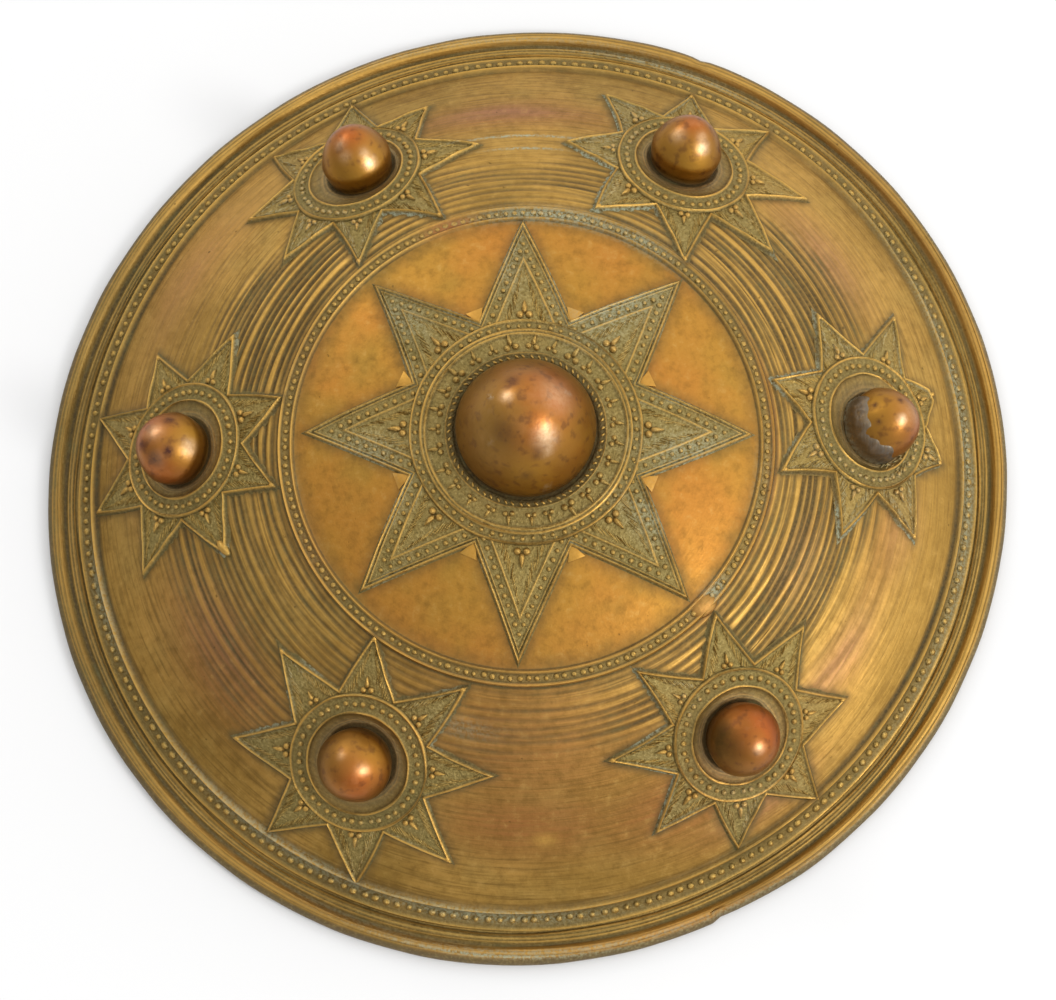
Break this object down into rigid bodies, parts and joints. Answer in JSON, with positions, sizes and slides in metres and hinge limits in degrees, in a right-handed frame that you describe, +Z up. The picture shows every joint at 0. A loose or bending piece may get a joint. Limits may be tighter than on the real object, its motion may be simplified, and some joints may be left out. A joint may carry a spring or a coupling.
{
  "type": "buckler shield",
  "caption": "Round domed shield of cast brass with star ornament, bead bands, fine rings and raised knob bosses. It lies rim down.",
  "frame": {"origin": "middle of the rim's flat underside, on the surface that the shield lies on", "axes": "+Z up out of the domed face, through the centre boss; +X to the right and +Y to the top of the face as pictured"},
  "size_m": [0.2796, 0.2804, 0.0794],
  "materials": {
    "cast_brass": "old lost-wax cast brass, olive gold with pale green deposits in the recesses and red-brown wear",
    "red_copper_alloy": "copper-red cast knobs rubbed smooth, yellower and darker low down"
  },
  "bodies": {
    "root": {"shield_plate": "cast_brass", "centre_boss": "red_copper_alloy", "right_boss": "red_copper_alloy", "upper_right_boss": "red_copper_alloy", "upper_left_boss": "red_copper_alloy", "left_boss": "red_copper_alloy", "lower_left_boss": "red_copper_alloy", "lower_right_boss": "red_copper_alloy"}
  },
  "joints": []
}
